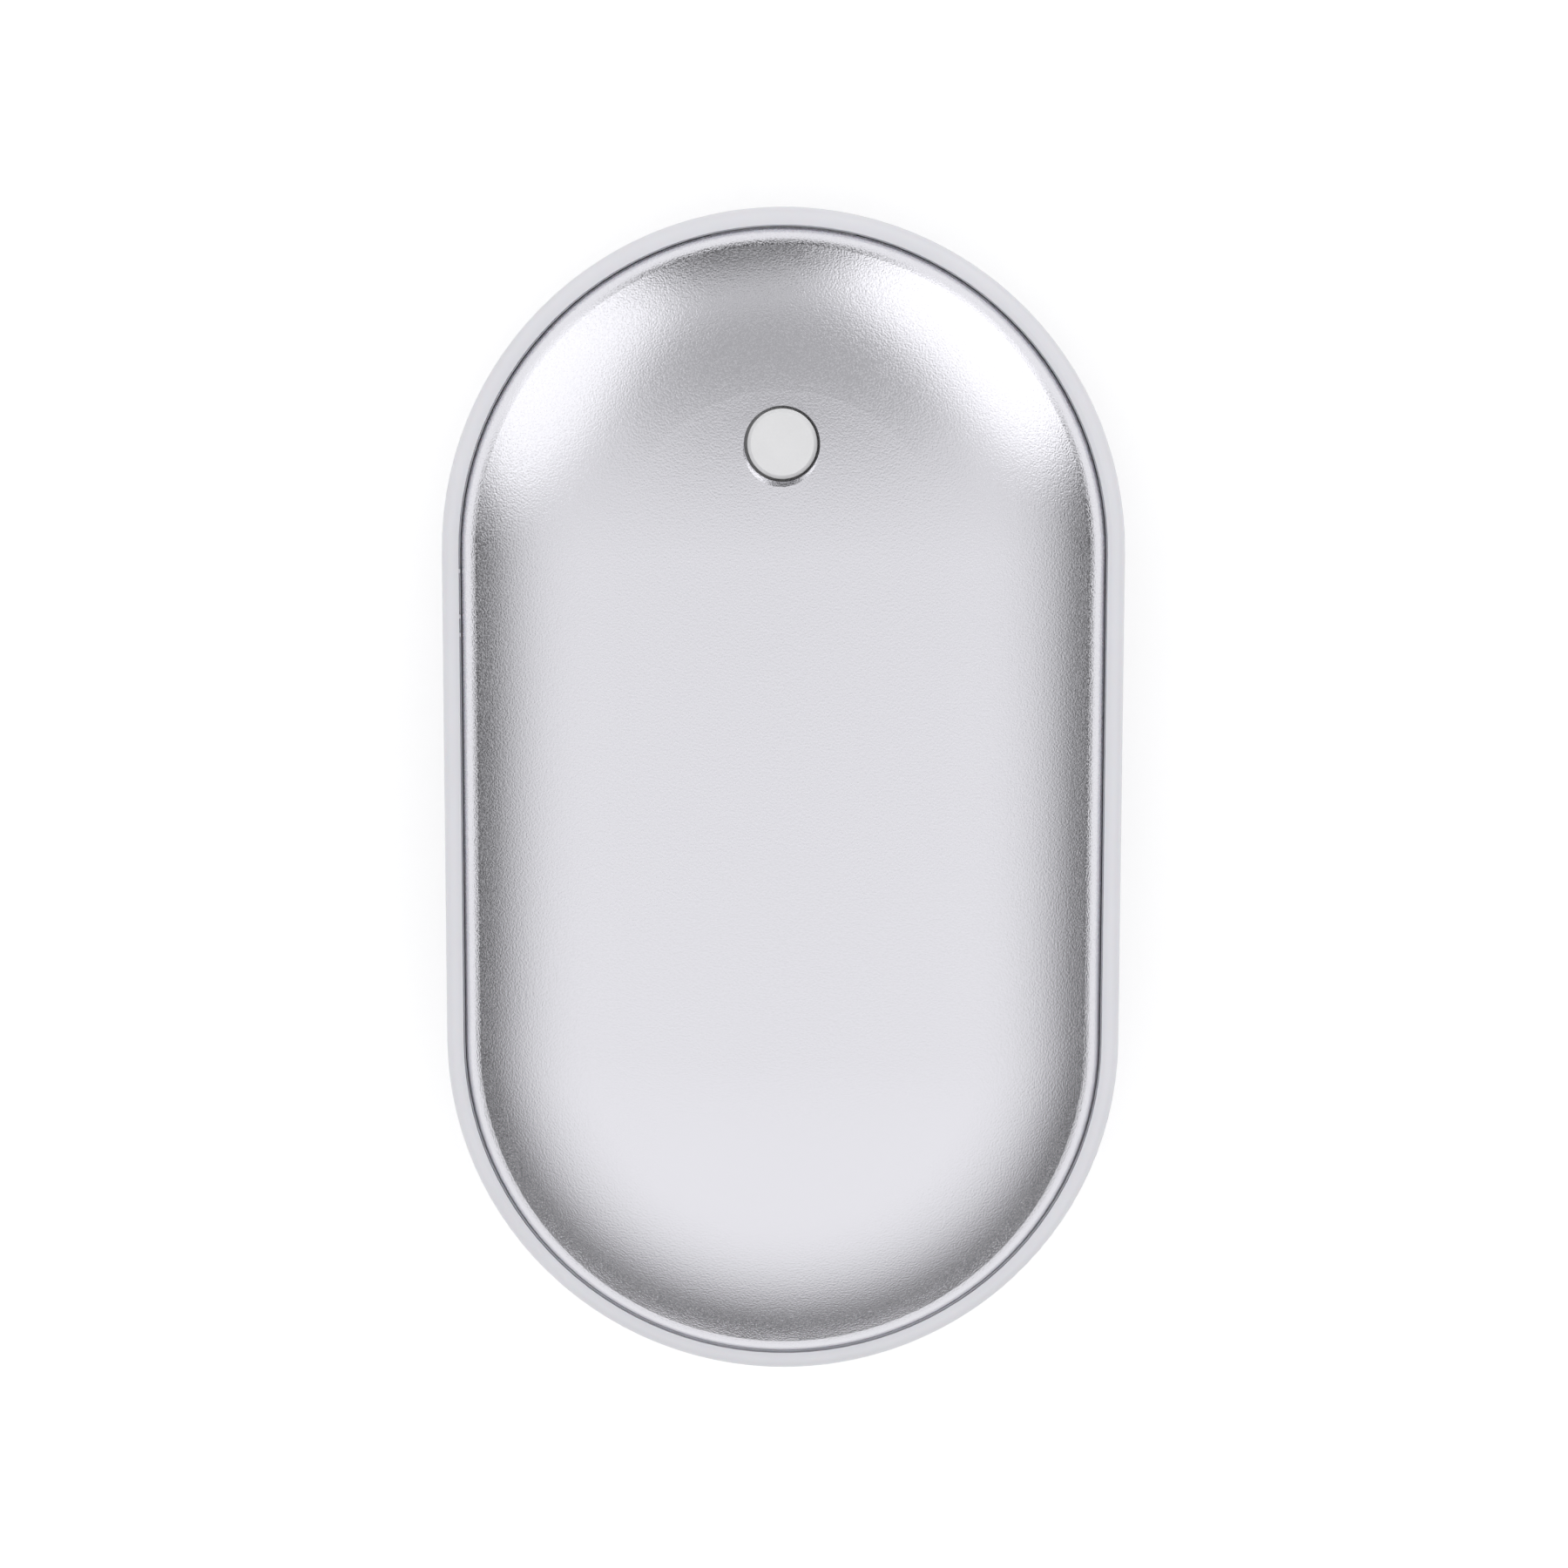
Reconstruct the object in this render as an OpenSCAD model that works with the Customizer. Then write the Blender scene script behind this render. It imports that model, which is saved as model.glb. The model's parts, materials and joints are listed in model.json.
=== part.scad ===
// Rechargeable hand warmer: two deep-drawn aluminium shells on a white plastic
// band, with a flexible heater under each shell, a battery between them and a
// circuit board at the button end.
// Lengths are in millimetres. The object lies on its back shell, +Z is up
// through the button, and +Y points at the end that has the sockets.

/* [Body] */
// Overall length, along Y
body_l = 103.5; // [98:0.5:114]
// Overall width across the band
body_w = 60; // [58:1:66]
// Thickness over both crowns, before the back one is ground flat
body_h = 26; // [25:0.5:29]

/* [Band] */
// Height of the white band between the two seams
band_h = 8.4; // [8.2:0.1:9]
// Width of the band's lip outside the seam
lip_w = 1.6; // [1.4:0.05:1.9]
// Radius of the band's outer edges
band_r = 1.2; // [0.8:0.1:1.2]
// Open gap between the band and a shell
seam_gap = 0.15; // [0.1:0.05:0.3]
// How deep a shell's rim sits below the seam
rim_depth = 1.2; // [0.9:0.1:1.2]
// How deep the seam is open, down to the ledge that keeps the shell centred
seam_depth = 0.5; // [0.3:0.1:0.8]
// Open gap between the band's inner tongue and a shell
tongue_gap = 0.45; // [0.4:0.05:0.6]
// Thickness of the tongue
tongue_t = 1.2; // [0.9:0.1:1.4]
// Height of the tongue above the seam
tongue_rise = 0.5; // [0.3:0.1:0.8]
// Places along the left seam that have a small locating rib
rib_places = [14.4, 16, 20];
// Width of each locating rib
rib_w = 0.35; // [0.2:0.05:0.6]

/* [Shells] */
// Aluminium sheet thickness
shell_t = 0.8; // [0.6:0.1:1]
// Radius of the tight bend next to a shell's rim
edge_r = 4; // [3.5:0.25:4.5]
// How far the crown rises above the wide shoulder next to it
crown_rise = 0.8; // [0.6:0.1:1]
// Height of a shell's upright rim, below its shoulder
rim_h = 0.25; // [0.2:0.05:0.4]
// How much of the back shell's crown is ground flat
rest_cut = 0.1; // [0.06:0.02:0.2]

/* [Button] */
// Distance of the button from the axis of the rounded end
button_r = 9.7; // [9:0.05:11]
// Diameter of the button's face
button_d = 5.95; // [5:0.05:6.4]
// Open gap round the button
button_gap = 0.2; // [0.12:0.02:0.3]
// Sideways stand of the button in its hole, as assembled
button_shift = 0.08; // [0:0.01:0.1]
// Chamfer on the button's edge
button_chamfer = 0.3; // [0.1:0.05:0.5]
// Diameter of the flange that keeps the button in
flange_d = 8.2; // [7.6:0.1:8.6]
// Thickness of that flange
flange_t = 0.7; // [0.5:0.1:0.9]
// Travel of the button
button_travel = 0.4; // [0.25:0.05:0.5]
// Diameter of the button's stem
stem_d = 3; // [2.4:0.1:3.4]
// Radial clearance of the stem in its guide
stem_clearance = 0.08; // [0.04:0.01:0.1]

/* [Heaters] */
// Thickness of the polyimide film
film_t = 0.15; // [0.1:0.01:0.18]
// Thickness of the etched foil
foil_t = 0.08; // [0.05:0.01:0.1]
// Half width of the film
film_r = 18; // [16:0.5:18.5]
// Width of the foil track
track_w = 1.4; // [1:0.1:1.8]
// Spacing of the foil track's runs
track_pitch = 3; // [2.6:0.1:4]

/* [Carriers] */
// Wall of the plastic carriers
carrier_t = 1.2; // [1:0.1:1.4]
// Radial clearance of a carrier's skirt in the band
skirt_clearance = 0.15; // [0.1:0.05:0.3]
// Height of each skirt's edge from the middle plane
skirt_z = 0.8; // [0.5:0.1:1.2]
// Diameter of the screw bosses
boss_d = 5; // [4.6:0.1:5.4]
// Outer diameter of the case screws
case_screw_d = 2; // [1.7:0.1:2.2]
// Distance of the two lower screws from the axis of their rounded end
low_screw_r = 16.65; // [15:0.05:17]
// Clearance round a screw or a board part
fit_gap = 0.05; // [0.03:0.01:0.1]

/* [Board] */
// Height of the board's upper face from the middle plane
board_z = -1.3; // [-1.4:0.1:-1.2]
// Board thickness
board_t = 1.2; // [1:0.1:1.6]
// Distance of the board's straight edge from the axis of the rounded end
board_edge = 2.85; // [2.5:0.05:3.1]
// Outer width of the large socket
usb_a_w = 13.1; // [13:0.1:13.4]
// Outer height of the large socket
usb_a_h = 5.7; // [5.6:0.1:5.8]
// Depth of the large socket
usb_a_l = 13; // [11:0.5:13.5]
// Outer width of the small socket
micro_w = 7.6; // [7.4:0.1:7.8]
// Outer height of the small socket
micro_h = 2.6; // [2.4:0.1:2.8]
// Depth of the small socket
micro_l = 5.4; // [5:0.1:6]
// Direction of the small socket, from +Y towards -X
micro_angle = 30; // [28:1:34]
// Sheet thickness of both sockets
socket_t = 0.3; // [0.25:0.05:0.35]
// How far the sockets' mouths lie inside the band's face
socket_recess = 1.2; // [1:0.1:1.6]
// Direction of the first indicator lamp, from +Y towards +X
lamp_angle = 22; // [20:1:24]
// Angle between indicator lamps
lamp_step = 5; // [4:0.5:6]
// Diameter of each light pipe
pipe_d = 1.4; // [1.1:0.1:1.6]

/* [Battery] */
// Battery width
battery_w = 40; // [36:1:40]
// Battery thickness
battery_h = 12.4; // [10:0.2:13]
// Distance of the battery's terminal end from the axis of the rounded end
battery_gap = 2.15; // [2:0.05:3]
// Corner radius of the pouch
battery_r = 2.4; // [1.5:0.1:4]
// Room between the foam's corners and the dome
foam_clearance = 0.25; // [0.2:0.05:0.5]
// Width of the foam
foam_w = 28; // [20:1:28]
// How far the foam stops short of each end of the battery
foam_end = 6; // [6:0.5:10]
// Diameter of the supply wires over their insulation
wire_d = 1.5; // [1.1:0.1:1.7]
// Diameter of the thin sensor wires
sensor_wire_d = 0.7; // [0.5:0.05:0.9]

/* [Hidden] */
$fn = 72;

// Body and shells
half_w = body_w / 2;
half_h = body_h / 2;
end_y = body_l / 2 - half_w;
seam_z = band_h / 2;
lip_r = half_w - lip_w;
rim_r = lip_r - seam_gap;
rim_z = seam_z - rim_depth;
wall_z = rim_z + rim_h;
edge_lean = [0.6, 0.8];
edge_c = [rim_r - edge_r, wall_z];
shoulder_r = (half_h - crown_rise - wall_z - edge_lean[1] * edge_r) / (1 - edge_lean[1]);
shoulder_c = edge_c - (shoulder_r - edge_r) * edge_lean;
crown_r = shoulder_r + (shoulder_c[0] * shoulder_c[0] / crown_rise + crown_rise) / 2;
crown_z = half_h - crown_r;
crown_lean = unit(shoulder_c - [0, crown_z]);
arc_fn = 360;

// Layers under a shell, as depths below its outer surface
film_in = shell_t + fit_gap;
foil_in = film_in + film_t;
carrier_in = foil_in + foil_t + fit_gap;
carrier_back = carrier_in + carrier_t;

// Band
tongue_out = rim_r - shell_t - tongue_gap;
tongue_in = tongue_out - tongue_t;
tongue_z = seam_z + tongue_rise;
rebate_z = rim_z - 0.2;

// Carriers
skirt_out = tongue_in - skirt_clearance;
skirt_in = skirt_out - carrier_t;
skirt_top = wall_z + edge_r / 2;
top_boss = [17.5, end_y + 5.85];
low_boss = [9, -end_y - low_screw_r];
screw_head_d = 1.9 * case_screw_d;
screw_head_t = 0.7 * case_screw_d;
screw_seat_z = 4;
screw_tip_z = -8;
board_post = [15, end_y + 15.45];
board_screw_d = 1.7;
board_gap = 0.15;

// Board and sockets: a tongue is [width, thickness], a back is where the inside of a socket starts
board_r = skirt_in - 0.3;
board_bottom = board_z - board_t;
board_edge_y = end_y + board_edge;
socket_mouth = half_w - socket_recess;
usb_a_back = socket_mouth - usb_a_l + socket_t;
usb_a_plug_l = 2.2;
usb_a_tongue = [11.1, 1.84];
usb_a_tongue_z = 0.35;
micro_back = socket_mouth - micro_l + socket_t;
micro_plug_l = 1.4;
micro_tongue = [3.9, 0.6];
micro_tongue_z = 0.1;
mouth_gap = 0.12;
lamp_count = 4;
guide_r = board_r - 0.1;
guide_t = 1.1;
led_r = guide_r - guide_t - 0.5;

// Small parts on the board: [x, y] of each one's lowest corner
inductor_at = [-11.5, end_y + 10.75];
inductor = [6, 6, 2.8];
upper_chips = [[9, end_y + 12.75], [8, board_edge_y + 2.6]];
upper_chip_sizes = [[4, 4, 0.9], [5, 3.9, 1.5]];
lower_chip_at = [-12, end_y + 8.75];
lower_chip = [3.9, 4.9, 1.1];
edge_capacitors_at = [-8.5, board_edge_y + 1.6];
edge_capacitor = [1.2, 2, 1.2];
side_capacitors_at = [14.2, end_y + 8.25];
side_capacitor = [1.6, 0.8, 0.8];
lower_capacitors_at = [-5, end_y + 13.85];
lower_capacitor = [2, 1.2, 1.2];

// Places where wires pass a carrier and end on the board
heater_lead_at = [6, end_y - 1.15];
heater_lead_z = crown_height(heater_lead_at[0], foil_in + foil_t) - 0.1;
thermistor_at = [12, end_y - 1.15];
thermistor_d = 1.8;
thermistor_z = crown_height(thermistor_at[0], foil_in + foil_t) - thermistor_d / 2 - 0.15;
wire_room = 0.75;

// Switch and button
switch_w = 6;
switch_base_h = 3.2;
switch_cover_t = 0.3;
switch_h = 5;
plunger_d = 3.4;
switch_top = board_z + switch_h;
button_y = end_y + button_r;
cap_z = crown_height(button_r, 0);
hole_d = button_d + 2 * button_gap;
hole_chamfer = 0.12;
flange_z = crown_height(button_r + flange_d / 2, shell_t) - 0.12;
well_r = flange_d / 2 + 0.4;
well_z = flange_z - flange_t - button_travel - 0.8;

// Battery
battery_y = end_y - battery_gap;
battery_low_y = low_boss[1] + boss_d / 2 + 0.5;
battery_l = battery_y - battery_low_y;
battery_mid_y = battery_low_y + battery_l / 2;
tab_l = 3;
foam_corner = norm([foam_w / 2, battery_low_y + foam_end + end_y]);
foam_z = shoulder_height(foam_corner, carrier_back) - foam_clearance;
foam_t = foam_z - battery_h / 2;
rib_pitch = 18;
rib_ys = [for (i = [-1 : 1]) battery_mid_y + i * rib_pitch];
bay_wall_t = 1;

// Height of a shell's crown at a distance from the end's axis, at a depth below the surface
function crown_height(r, depth) = crown_z + sqrt(pow(crown_r - depth, 2) - r * r);

// The same for the shoulder, which lies outside the crown
function shoulder_height(r, depth) =
    shoulder_c[1] + sqrt(pow(shoulder_r - depth, 2) - pow(r - shoulder_c[0], 2));

// A point on a smooth curve through four points
function curve_point(a, b, c, d, t) =
    0.5 * (2 * b + (c - a) * t + (2 * a - 5 * b + 4 * c - d) * t * t + (3 * b - a - 3 * c + d) * t * t * t);

// Points along a smooth curve through all the given points
function smooth_path(points, steps) =
    let (last = len(points) - 1)
    [for (i = [0 : last - 1])
        for (k = [0 : steps - 1])
            curve_point(
                points[max(i - 1, 0)], points[i], points[i + 1], points[min(i + 2, last)], k / steps),
        points[last]];

function unit(v) = v / norm(v);

// Direction of a path at one of its points
function heading(path, i) = unit(path[min(i + 1, len(path) - 1)] - path[max(i - 1, 0)]);

// A ring of points round a path's point, square to its heading
function ring(path, i, r, sides) =
    let (
        along = heading(path, i),
        side = unit(cross(along, [0.31, 0.17, 0.93])),
        up = cross(side, along)
    )
    [for (k = [0 : sides - 1]) path[i] + r * (side * cos(360 * k / sides) + up * sin(360 * k / sides))];

// A wire swept along a smooth path
module wire(points, d) {
    sides = 6;
    path = smooth_path(points, 4);
    count = len(path);
    rings = [for (i = [0 : count - 1]) each ring(path, i, d / 2, sides)];
    walls = [for (i = [0 : count - 2])
        for (k = [0 : sides - 1])
            let (a = i * sides + k, b = i * sides + (k + 1) % sides)
            each [[a, b, b + sides], [a, b + sides, a + sides]]];
    first = [for (k = [sides - 1 : -1 : 0]) k];
    end = [for (k = [0 : sides - 1]) (count - 1) * sides + k];
    polyhedron(rings, concat(walls, [first], [end]));
}

// Carries a half profile, drawn in X and Z, round the stadium outline of the body
module round_body() {
    for (turn = [0, 180])
        rotate(turn)
            translate([0, end_y, 0])
                rotate_extrude(angle = 180)
                    children();
    rotate([90, 0, 0])
        linear_extrude(2 * end_y, center = true) {
            children();
            mirror([1, 0])
                children();
        }
}

// Half profile of the space under a shell: upright rim, then three arcs that meet smoothly
module dome_face(depth, foot) {
    far = 2 * crown_r;
    intersection() {
        union() {
            translate([0, foot])
                square([rim_r - depth, wall_z - foot]);
            sector(edge_c, edge_r - depth, [1, 0], edge_lean, far);
            sector(shoulder_c, shoulder_r - depth, edge_lean, crown_lean, far);
            sector([0, crown_z], crown_r - depth, crown_lean, [0, 1], far);
        }
        translate([0, foot])
            square([half_w, body_h]);
    }
}

// Part of a disc between two directions
module sector(middle, r, from, to, far) {
    intersection() {
        translate(middle)
            circle(r, $fn = arc_fn);
        polygon([middle, middle + far * from, middle + far * (from + to), middle + far * to]);
    }
}

// Half profile of one layer between two depths below a shell's surface
module layer(outer, inner, foot) {
    difference() {
        dome_face(outer, foot);
        dome_face(inner, foot - 1);
    }
}

// Part of a half profile between two distances from the axis
module between(from, to) {
    intersection() {
        children();
        translate([from, 0])
            square([to - from, body_h]);
    }
}

// Turns a front piece over, so that it becomes a back one
module turned_over() {
    mirror([0, 0, 1])
        children();
}

// Local frame at the socket end: +Y points out through the band
module at_end(angle) {
    translate([0, end_y, 0])
        rotate(angle)
            children();
}

// A bar with rounded long edges that runs outwards from one distance to another
module slot_bar(w, h, r, from, to) {
    translate([0, to, 0])
        rotate([90, 0, 0])
            linear_extrude(to - from)
                rounded_slot(w, h, r);
}

module rounded_slot(w, h, r) {
    square([w - 2 * r, h], center = true);
    square([w, h - 2 * r], center = true);
    for (x = [-1, 1])
        for (z = [-1, 1])
            translate([x * (w / 2 - r), z * (h / 2 - r)])
                circle(r);
}

module at_lamps() {
    for (i = [0 : lamp_count - 1])
        at_end(-lamp_angle - i * lamp_step)
            children();
}

// Both members of a left and right pair at a place
module pair(place) {
    for (x = [-1, 1])
        translate([x * place[0], place[1], 0])
            children();
}

module bar_z(d, from, to) {
    translate([0, 0, from])
        cylinder(d = d, h = to - from);
}

// Room that the two sockets and the light pipes need through skirts and rims
module socket_room(gap) {
    at_end(0)
        slot_bar(usb_a_w + 2 * gap, usb_a_h + 2 * gap, 0.4, 10, socket_mouth);
    at_end(micro_angle)
        slot_bar(micro_w + 2 * gap, micro_h + 2 * gap, 0.4, 10, socket_mouth);
}

module front_shell() {
    color("silver")
        difference() {
            round_body()
                layer(0, shell_t, rim_z);
            translate([0, button_y, 0]) {
                bar_z(hole_d, half_h - 6, half_h + 1);
                translate([0, 0, cap_z - hole_chamfer])
                    cylinder(d1 = hole_d, d2 = hole_d + 2, h = 1);
            }
        }
}

// The back shell is ground flat in the middle, so that the object rests on it
module back_shell() {
    color("silver")
        turned_over()
            difference() {
                round_body()
                    layer(0, shell_t, rim_z);
                translate([-half_w, -body_l / 2, half_h - rest_cut])
                    cube([body_w, body_l, 1]);
            }
}

module mid_frame() {
    color("whitesmoke")
        difference() {
            union() {
                round_body()
                    frame_profile();
                locating_ribs();
            }
            socket_room(mouth_gap);
            at_end(0)
                slot_bar(usb_a_w - 0.4, usb_a_h - 0.4, 0.5, socket_mouth - 1, half_w + 1);
            at_end(micro_angle)
                slot_bar(micro_w - 0.3, micro_h - 0.3, 0.6, socket_mouth - 1, half_w + 1);
            at_lamps()
                rotate([-90, 0, 0])
                    bar_z(pipe_d + 2 * fit_gap, 10, half_w + 1);
        }
}

module frame_profile() {
    translate([lip_r, -seam_z])
        square([lip_w - band_r, band_h]);
    translate([lip_r, band_r - seam_z])
        square([lip_w, band_h - 2 * band_r]);
    for (side = [0, 1])
        mirror([0, side])
            translate([half_w - band_r, seam_z - band_r])
                intersection() {
                    circle(band_r);
                    square(band_r);
                }
    ledge_z = seam_z - seam_depth;
    translate([rim_r + fit_gap, -ledge_z])
        square([lip_r - rim_r - fit_gap, 2 * ledge_z]);
    translate([tongue_in, -rebate_z])
        square([lip_r - tongue_in, 2 * rebate_z]);
    translate([tongue_in, -tongue_z])
        square([tongue_t, 2 * tongue_z]);
}

// Short ribs that stand in the seam and press on the shell's side
module locating_ribs() {
    rib_top = seam_z - 0.1;
    for (y = rib_places)
        translate([-lip_r - fit_gap, y, rebate_z])
            cube([seam_gap + fit_gap / 2, rib_w, rib_top - rebate_z]);
}

// Upright skirt of a carrier, as a half profile above the middle plane
module carrier_skirt() {
    translate([skirt_in, skirt_z])
        square([skirt_out - skirt_in, skirt_top - skirt_z]);
}

module front_carrier() {
    color("gainsboro")
        difference() {
            union() {
                round_body() {
                    intersection() {
                        layer(carrier_in, carrier_back, 0);
                        translate([0, tongue_z + fit_gap])
                            square([half_w, body_h]);
                    }
                    carrier_skirt();
                }
                intersection() {
                    round_body()
                        dome_face(carrier_in + carrier_t / 2, -half_h);
                    front_carrier_posts();
                }
            }
            front_carrier_holes();
        }
}

// Button well, screw bosses and foam ribs, drawn long and then trimmed to the dome
module front_carrier_posts() {
    translate([0, button_y, 0])
        bar_z(2 * (well_r + carrier_t), well_z - carrier_t, half_h);
    pair(top_boss)
        bar_z(boss_d, board_z, half_h);
    pair(low_boss)
        bar_z(boss_d, 0, half_h);
    foam_ribs();
}

module front_carrier_holes() {
    translate([0, button_y, 0]) {
        bar_z(2 * well_r, well_z, half_h + 1);
        bar_z(stem_d + 2 * stem_clearance, 0, half_h);
    }
    pair(top_boss)
        screw_passage(board_z);
    pair(low_boss)
        screw_passage(0);
    socket_room(0.3);
    pair(heater_lead_at)
        bar_z(wire_d + 2 * wire_room, 2, half_h);
    translate([thermistor_at[0], thermistor_at[1], 0])
        bar_z(thermistor_d + 2 * wire_room, 2, half_h);
}

module screw_passage(foot) {
    bar_z(screw_head_d + 0.4, screw_seat_z, half_h + 1);
    bar_z(case_screw_d + 2 * fit_gap, foot - 1, half_h);
}

module foam_ribs() {
    for (y = rib_ys)
        translate([-foam_w / 2, y - carrier_t / 2, foam_z])
            cube([foam_w, carrier_t, half_h]);
}

module back_carrier() {
    color("gainsboro")
        difference() {
            union() {
                turned_over()
                    round_body() {
                        intersection() {
                            layer(carrier_in, carrier_back, 0);
                            translate([0, tongue_z + fit_gap])
                                square([half_w, body_h]);
                        }
                        carrier_skirt();
                    }
                intersection() {
                    turned_over()
                        round_body()
                            dome_face(carrier_in + carrier_t / 2, -half_h);
                    back_carrier_posts();
                }
            }
            back_carrier_holes();
        }
}

// Screw bosses, board posts, foam ribs and the walls of the battery bay
module back_carrier_posts() {
    pair(top_boss)
        bar_z(boss_d, -half_h, board_bottom);
    pair(low_boss)
        bar_z(boss_d, -half_h, 0);
    pair(board_post)
        bar_z(4, -half_h, board_bottom);
    mirror([0, 0, 1])
        foam_ribs();
    for (x = [-1, 1])
        translate([x * (battery_w / 2 + 0.3 + bay_wall_t / 2), battery_mid_y, -half_h])
            translate([-bay_wall_t / 2, -battery_l * 0.4, 0])
                cube([bay_wall_t, battery_l * 0.8, half_h - 1]);
}

module back_carrier_holes() {
    pair(top_boss)
        bar_z(case_screw_d + 2 * fit_gap, screw_tip_z - 0.3, half_h);
    pair(low_boss)
        bar_z(case_screw_d + 2 * fit_gap, screw_tip_z - 0.3, half_h);
    pair(board_post)
        bar_z(board_screw_d + 2 * fit_gap, board_bottom - 3.8, half_h);
    socket_room(0.3);
    pair(heater_lead_at)
        bar_z(wire_d + 2 * wire_room, -half_h, -2);
}

module front_adhesive() {
    color("goldenrod")
        round_body()
            between(film_r + 0.5, skirt_out - 1.5)
                layer(film_in, carrier_in - fit_gap, 0);
}

module back_adhesive() {
    color("goldenrod")
        turned_over()
            round_body()
                between(film_r + 0.5, skirt_out - 1.5)
                    layer(film_in, carrier_in - fit_gap, 0);
}

module front_heater_film() {
    color("darkorange")
        difference() {
            round_body()
                between(0, film_r)
                    layer(film_in, foil_in, 0);
            translate([0, button_y, 0])
                bar_z(2 * well_r + 1, 0, half_h + 1);
        }
}

module back_heater_film() {
    color("darkorange")
        turned_over()
            round_body()
                between(0, film_r)
                    layer(film_in, foil_in, 0);
}

// Half length of the track's run at a place along Y
function run_reach(y) =
    let (past = max(abs(y) - end_y, 0), r = film_r - 1.6)
    sqrt(r * r - past * past);

// Two foil tracks side by side, each folded into runs, joined at the far end, with a pad at the socket end
module heater_track() {
    start = end_y - 0.75;
    runs = floor((start + end_y + film_r * 0.6) / track_pitch);
    for (x = [0, 1])
        mirror([x, 0]) {
            for (i = [0 : runs])
                let (y = start - i * track_pitch)
                translate([1, y - track_w / 2])
                    square([run_reach(y) - 1, track_w]);
            for (i = [0 : runs - 1])
                let (
                    y = start - i * track_pitch,
                    outer = min(run_reach(y), run_reach(y - track_pitch)),
                    place = i % 2 == 0 ? outer - track_w : 1
                )
                translate([place, y - track_pitch])
                    square([track_w, track_pitch]);
            translate([1, start - track_w / 2])
                square([8, 3.4]);
        }
    last = start - runs * track_pitch;
    translate([-1.5, last - track_w / 2])
        square([3, track_w]);
}

module front_heater_track() {
    color("peru")
        intersection() {
            round_body()
                between(0, film_r)
                    layer(foil_in, foil_in + foil_t, 0);
            linear_extrude(body_h)
                heater_track();
        }
}

module back_heater_track() {
    color("peru")
        turned_over()
            intersection() {
                round_body()
                    between(0, film_r)
                        layer(foil_in, foil_in + foil_t, 0);
                linear_extrude(body_h)
                    heater_track();
            }
}

module button_cap() {
    color("whitesmoke")
        translate([button_shift, button_y, 0]) {
            rotate_extrude()
                polygon([
                    [0, flange_z - flange_t], [flange_d / 2, flange_z - flange_t],
                    [flange_d / 2, flange_z], [button_d / 2, flange_z],
                    [button_d / 2, cap_z - button_chamfer],
                    [button_d / 2 - button_chamfer, cap_z], [0, cap_z]
                ]);
            translate([-button_shift, 0, 0])
                bar_z(stem_d, switch_top, flange_z - flange_t / 2);
        }
}

module switch_housing() {
    color("dimgray")
        translate([0, button_y, board_z])
            difference() {
                translate([-switch_w / 2, -switch_w / 2, 0])
                    cube([switch_w, switch_w, switch_base_h]);
                bar_z(plunger_d + 1, 1, switch_h);
                for (x = [-1, 1])
                    for (y = [-1, 1])
                        translate([x * switch_w / 2, y * switch_w / 2, -1])
                            rotate(45)
                                cube([0.8, 0.8, 3 * switch_h], center = true);
            }
}

module switch_cover() {
    color("silver")
        translate([0, button_y, board_z + switch_base_h])
            difference() {
                translate([-switch_w / 2, -switch_w / 2, 0])
                    cube([switch_w, switch_w, switch_cover_t]);
                bar_z(plunger_d + 0.2, -1, 1);
            }
}

// Snap disc inside the switch: a shallow cap of sheet that the plunger pushes flat
module switch_dome() {
    rise = 0.5;
    foot_r = plunger_d / 2 + 0.3;
    cap_r = (foot_r * foot_r + rise * rise) / (2 * rise);
    sheet = 0.12;
    color("silver")
        translate([0, button_y, board_z + 1])
            rotate_extrude()
                intersection() {
                    translate([0, rise - cap_r])
                        difference() {
                            circle(cap_r);
                            circle(cap_r - sheet);
                        }
                    square([foot_r, 2 * rise]);
                }
}

module switch_plunger() {
    color("black")
        translate([0, button_y, board_z]) {
            bar_z(plunger_d, 1.6, switch_h);
            bar_z(plunger_d + 0.7, 1.6, 2.3);
        }
}

// Four legs: a shoulder beside the housing, and a pin that goes through the board
module switch_legs() {
    shoulder = [0.5, 0.7, 1.2];
    pin = [0.3, 0.5, 2];
    color("silver")
        translate([0, 0, board_z])
            at_switch_legs() {
                translate([-shoulder[0] / 2, -shoulder[1] / 2, 0])
                    cube(shoulder);
                translate([-pin[0] / 2, -pin[1] / 2, -pin[2]])
                    cube(pin);
            }
}

module at_switch_legs() {
    for (x = [-1, 1])
        for (y = [-1, 1])
            translate([x * (switch_w / 2 + 0.3), button_y + y * 2.2, 0])
                children();
}

module board_outline() {
    intersection() {
        translate([0, end_y])
            circle(board_r);
        translate([-half_w, board_edge_y])
            square([body_w, body_l]);
    }
}

module main_board() {
    color("seagreen")
        translate([0, 0, board_bottom])
            difference() {
                linear_extrude(board_t)
                    board_outline();
                translate([-usb_a_w / 2 - board_gap, end_y + socket_mouth - usb_a_l - board_gap, -1])
                    cube([usb_a_w + 2 * board_gap, body_l, board_t + 2]);
                pair(top_boss)
                    bar_z(case_screw_d + 0.4, -1, board_t + 1);
                pair(board_post)
                    bar_z(board_screw_d + 2 * fit_gap, -1, board_t + 1);
                at_switch_legs()
                    bar_z(0.8, -1, board_t + 1);
            }
}

// Folded sheet socket: a rectangular tube with a closed back
module socket_shell(w, h, l, r) {
    difference() {
        slot_bar(w, h, r, socket_mouth - l, socket_mouth);
        slot_bar(w - 2 * socket_t, h - 2 * socket_t, r / 2, socket_mouth - l + socket_t, socket_mouth + 1);
    }
}

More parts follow.
